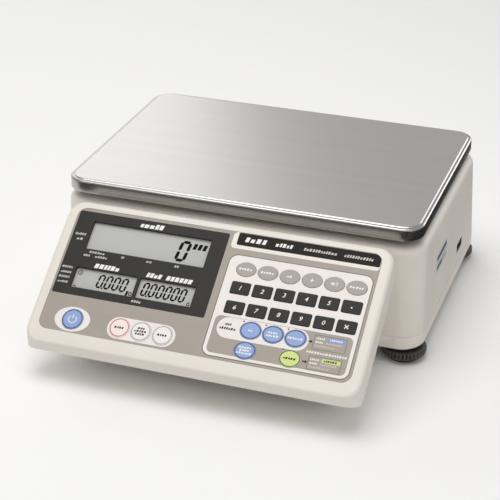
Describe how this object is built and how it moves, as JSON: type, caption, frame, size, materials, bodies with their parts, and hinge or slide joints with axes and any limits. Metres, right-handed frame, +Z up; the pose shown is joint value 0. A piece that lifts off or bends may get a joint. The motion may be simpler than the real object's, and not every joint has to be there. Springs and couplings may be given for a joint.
{
  "type": "counting scale",
  "caption": "Bench counting scale: box body on levelling feet, flat steel pan, sloped console with three displays and a keypad.",
  "frame": {"origin": "centre of the scale's footprint on the surface it stands on", "axes": "+Z up, +Y from the console towards the rear, +X to the operator's right"},
  "size_m": [0.315, 0.344, 0.121],
  "materials": {
    "case_cream": "fine-textured moulded ABS, warm off-white",
    "fascia": "printed taupe fascia with off-white key fields",
    "window_dark": "dark printed acrylic display window",
    "lcd": "grey reflective LCD",
    "holder_plastic": "dark moulded plastic",
    "circuit_board": "green solder mask",
    "dome_rubber": "pale silicone",
    "cast_alloy": "as-cast aluminium",
    "cell_alloy": "machined aluminium",
    "zinc_steel": "zinc plated",
    "cable_sheath": "grey PVC",
    "cell_wrap": "plain wrapped dry cell",
    "contact_metal": "nickelled spring brass",
    "black_plastic": "black moulded plastic",
    "level_fluid": "yellow-green spirit level",
    "pan_steel": "brushed stainless",
    "foot_rubber": "black rubber",
    "key_blue": "printed blue key",
    "key_white": "printed white key",
    "key_grey": "printed grey key",
    "key_black": "printed black key",
    "key_green": "printed yellow-green key"
  },
  "bodies": {
    "case": {"lower_case": "case_cream", "upper_case": "case_cream", "keypad_overlay": "fascia", "display_window": "window_dark", "lcd_holder": "holder_plastic", "lcd_count": "lcd", "lcd_weight": "lcd", "lcd_unit_weight": "lcd", "panel_board": "circuit_board", "dome_sheet": "dome_rubber", "base_frame": "cast_alloy", "load_cell": "cell_alloy", "cell_screws": "zinc_steel", "overload_stops": "zinc_steel", "main_board": "circuit_board", "wiring": "cable_sheath", "battery_cells": "cell_wrap", "battery_contacts": "contact_metal", "dc_jack": "black_plastic", "level_vial": "level_fluid", "case_screws": "zinc_steel"},
    "pan_support": {"pan_support": "cast_alloy", "pan_pads": "foot_rubber"},
    "pan": {"pan": "pan_steel"},
    "battery_door": {"battery_door": "case_cream"},
    "foot_pad_fl": {"foot_pad_fl": "foot_rubber"},
    "foot_wheel_fl": {"foot_wheel_fl": "black_plastic"},
    "foot_pad_fr": {"foot_pad_fr": "foot_rubber"},
    "foot_wheel_fr": {"foot_wheel_fr": "black_plastic"},
    "foot_pad_rl": {"foot_pad_rl": "foot_rubber"},
    "foot_wheel_rl": {"foot_wheel_rl": "black_plastic"},
    "foot_pad_rr": {"foot_pad_rr": "foot_rubber"},
    "foot_wheel_rr": {"foot_wheel_rr": "black_plastic"},
    "key_on_off": {"key_on_off": "key_blue"},
    "key_zero": {"key_zero": "key_white"},
    "key_preset_tare": {"key_preset_tare": "key_white"},
    "key_tare": {"key_tare": "key_white"},
    "key_enter": {"key_enter": "key_green"},
    "key_print": {"key_print": "key_grey"},
    "key_total": {"key_total": "key_grey"},
    "key_memory": {"key_memory": "key_grey"},
    "key_plus": {"key_plus": "key_grey"},
    "key_beep": {"key_beep": "key_grey"},
    "key_reset": {"key_reset": "key_grey"},
    "key_1": {"key_1": "key_black"},
    "key_2": {"key_2": "key_black"},
    "key_3": {"key_3": "key_black"},
    "key_4": {"key_4": "key_black"},
    "key_5": {"key_5": "key_black"},
    "key_6": {"key_6": "key_black"},
    "key_7": {"key_7": "key_black"},
    "key_8": {"key_8": "key_black"},
    "key_9": {"key_9": "key_black"},
    "key_0": {"key_0": "key_black"},
    "key_point": {"key_point": "key_black"},
    "key_clear": {"key_clear": "key_black"},
    "key_unit_recall": {"key_unit_recall": "key_blue"},
    "key_unit_entry": {"key_unit_entry": "key_blue"},
    "key_unit_sample": {"key_unit_sample": "key_blue"},
    "key_unit_set": {"key_unit_set": "key_blue"}
  },
  "joints": [
    {"name": "load_cell_deflection", "type": "slide", "parent": "case", "child": "pan_support", "axis": [0, 0, -1], "range_m": [0, 0.0005], "stiffness_N_per_m": 120000, "springref_m": -0.0001, "deforming": ["load_cell"]},
    {"name": "pan_lift_off", "type": "slide", "parent": "pan_support", "child": "pan", "axis": [0, 0, 1], "range_m": [0, 0.04]},
    {"name": "battery_door_hinge", "type": "hinge", "parent": "case", "child": "battery_door", "pos_m": [0, -0.13, 0.01375], "axis": [-1, 0, 0], "range_deg": [0, 90]},
    {"name": "foot_lift_fl", "type": "slide", "parent": "case", "child": "foot_pad_fl", "axis": [0, 0, -1], "range_m": [-0.00125, 0.00625]},
    {"name": "foot_turn_fl", "type": "hinge", "parent": "foot_pad_fl", "child": "foot_wheel_fl", "pos_m": [-0.139, -0.039, 0.006], "axis": [0, 0, -1], "range_deg": [-360, 1800]},
    {"name": "foot_lift_fr", "type": "slide", "parent": "case", "child": "foot_pad_fr", "axis": [0, 0, -1], "range_m": [-0.00125, 0.00625]},
    {"name": "foot_turn_fr", "type": "hinge", "parent": "foot_pad_fr", "child": "foot_wheel_fr", "pos_m": [0.139, -0.039, 0.006], "axis": [0, 0, -1], "range_deg": [-360, 1800]},
    {"name": "foot_lift_rl", "type": "slide", "parent": "case", "child": "foot_pad_rl", "axis": [0, 0, -1], "range_m": [-0.00125, 0.00625]},
    {"name": "foot_turn_rl", "type": "hinge", "parent": "foot_pad_rl", "child": "foot_wheel_rl", "pos_m": [-0.138, 0.147, 0.006], "axis": [0, 0, -1], "range_deg": [-360, 1800]},
    {"name": "foot_lift_rr", "type": "slide", "parent": "case", "child": "foot_pad_rr", "axis": [0, 0, -1], "range_m": [-0.00125, 0.00625]},
    {"name": "foot_turn_rr", "type": "hinge", "parent": "foot_pad_rr", "child": "foot_wheel_rr", "pos_m": [0.138, 0.147, 0.006], "axis": [0, 0, -1], "range_deg": [-360, 1800]},
    {"name": "key_on_off_press", "type": "slide", "parent": "case", "child": "key_on_off", "axis": [0, 0.5807, -0.8141], "range_m": [0, 0.0005], "stiffness_N_per_m": 1500, "springref_m": -0.0001},
    {"name": "key_zero_press", "type": "slide", "parent": "case", "child": "key_zero", "axis": [0, 0.5807, -0.8141], "range_m": [0, 0.0005], "stiffness_N_per_m": 1500, "springref_m": -0.0001},
    {"name": "key_preset_tare_press", "type": "slide", "parent": "case", "child": "key_preset_tare", "axis": [0, 0.5807, -0.8141], "range_m": [0, 0.0005], "stiffness_N_per_m": 1500, "springref_m": -0.0001},
    {"name": "key_tare_press", "type": "slide", "parent": "case", "child": "key_tare", "axis": [0, 0.5807, -0.8141], "range_m": [0, 0.0005], "stiffness_N_per_m": 1500, "springref_m": -0.0001},
    {"name": "key_enter_press", "type": "slide", "parent": "case", "child": "key_enter", "axis": [0, 0.5807, -0.8141], "range_m": [0, 0.0005], "stiffness_N_per_m": 1500, "springref_m": -0.0001},
    {"name": "key_print_press", "type": "slide", "parent": "case", "child": "key_print", "axis": [0, 0.5807, -0.8141], "range_m": [0, 0.0005], "stiffness_N_per_m": 1500, "springref_m": -0.0001},
    {"name": "key_total_press", "type": "slide", "parent": "case", "child": "key_total", "axis": [0, 0.5807, -0.8141], "range_m": [0, 0.0005], "stiffness_N_per_m": 1500, "springref_m": -0.0001},
    {"name": "key_memory_press", "type": "slide", "parent": "case", "child": "key_memory", "axis": [0, 0.5807, -0.8141], "range_m": [0, 0.0005], "stiffness_N_per_m": 1500, "springref_m": -0.0001},
    {"name": "key_plus_press", "type": "slide", "parent": "case", "child": "key_plus", "axis": [0, 0.5807, -0.8141], "range_m": [0, 0.0005], "stiffness_N_per_m": 1500, "springref_m": -0.0001},
    {"name": "key_beep_press", "type": "slide", "parent": "case", "child": "key_beep", "axis": [0, 0.5807, -0.8141], "range_m": [0, 0.0005], "stiffness_N_per_m": 1500, "springref_m": -0.0001},
    {"name": "key_reset_press", "type": "slide", "parent": "case", "child": "key_reset", "axis": [0, 0.5807, -0.8141], "range_m": [0, 0.0005], "stiffness_N_per_m": 1500, "springref_m": -0.0001},
    {"name": "key_1_press", "type": "slide", "parent": "case", "child": "key_1", "axis": [0, 0.5807, -0.8141], "range_m": [0, 0.0005], "stiffness_N_per_m": 1500, "springref_m": -0.0001},
    {"name": "key_2_press", "type": "slide", "parent": "case", "child": "key_2", "axis": [0, 0.5807, -0.8141], "range_m": [0, 0.0005], "stiffness_N_per_m": 1500, "springref_m": -0.0001},
    {"name": "key_3_press", "type": "slide", "parent": "case", "child": "key_3", "axis": [0, 0.5807, -0.8141], "range_m": [0, 0.0005], "stiffness_N_per_m": 1500, "springref_m": -0.0001},
    {"name": "key_4_press", "type": "slide", "parent": "case", "child": "key_4", "axis": [0, 0.5807, -0.8141], "range_m": [0, 0.0005], "stiffness_N_per_m": 1500, "springref_m": -0.0001},
    {"name": "key_5_press", "type": "slide", "parent": "case", "child": "key_5", "axis": [0, 0.5807, -0.8141], "range_m": [0, 0.0005], "stiffness_N_per_m": 1500, "springref_m": -0.0001},
    {"name": "key_6_press", "type": "slide", "parent": "case", "child": "key_6", "axis": [0, 0.5807, -0.8141], "range_m": [0, 0.0005], "stiffness_N_per_m": 1500, "springref_m": -0.0001},
    {"name": "key_7_press", "type": "slide", "parent": "case", "child": "key_7", "axis": [0, 0.5807, -0.8141], "range_m": [0, 0.0005], "stiffness_N_per_m": 1500, "springref_m": -0.0001},
    {"name": "key_8_press", "type": "slide", "parent": "case", "child": "key_8", "axis": [0, 0.5807, -0.8141], "range_m": [0, 0.0005], "stiffness_N_per_m": 1500, "springref_m": -0.0001},
    {"name": "key_9_press", "type": "slide", "parent": "case", "child": "key_9", "axis": [0, 0.5807, -0.8141], "range_m": [0, 0.0005], "stiffness_N_per_m": 1500, "springref_m": -0.0001},
    {"name": "key_0_press", "type": "slide", "parent": "case", "child": "key_0", "axis": [0, 0.5807, -0.8141], "range_m": [0, 0.0005], "stiffness_N_per_m": 1500, "springref_m": -0.0001},
    {"name": "key_point_press", "type": "slide", "parent": "case", "child": "key_point", "axis": [0, 0.5807, -0.8141], "range_m": [0, 0.0005], "stiffness_N_per_m": 1500, "springref_m": -0.0001},
    {"name": "key_clear_press", "type": "slide", "parent": "case", "child": "key_clear", "axis": [0, 0.5807, -0.8141], "range_m": [0, 0.0005], "stiffness_N_per_m": 1500, "springref_m": -0.0001},
    {"name": "key_unit_recall_press", "type": "slide", "parent": "case", "child": "key_unit_recall", "axis": [0, 0.5807, -0.8141], "range_m": [0, 0.0005], "stiffness_N_per_m": 1500, "springref_m": -0.0001},
    {"name": "key_unit_entry_press", "type": "slide", "parent": "case", "child": "key_unit_entry", "axis": [0, 0.5807, -0.8141], "range_m": [0, 0.0005], "stiffness_N_per_m": 1500, "springref_m": -0.0001},
    {"name": "key_unit_sample_press", "type": "slide", "parent": "case", "child": "key_unit_sample", "axis": [0, 0.5807, -0.8141], "range_m": [0, 0.0005], "stiffness_N_per_m": 1500, "springref_m": -0.0001},
    {"name": "key_unit_set_press", "type": "slide", "parent": "case", "child": "key_unit_set", "axis": [0, 0.5807, -0.8141], "range_m": [0, 0.0005], "stiffness_N_per_m": 1500, "springref_m": -0.0001}
  ],
  "couplings": [
    {"joint": "foot_lift_fl", "follows": "foot_turn_fl", "m_per_rad": 0.00019894},
    {"joint": "foot_lift_fr", "follows": "foot_turn_fr", "m_per_rad": 0.00019894},
    {"joint": "foot_lift_rl", "follows": "foot_turn_rl", "m_per_rad": 0.00019894},
    {"joint": "foot_lift_rr", "follows": "foot_turn_rr", "m_per_rad": 0.00019894}
  ]
}
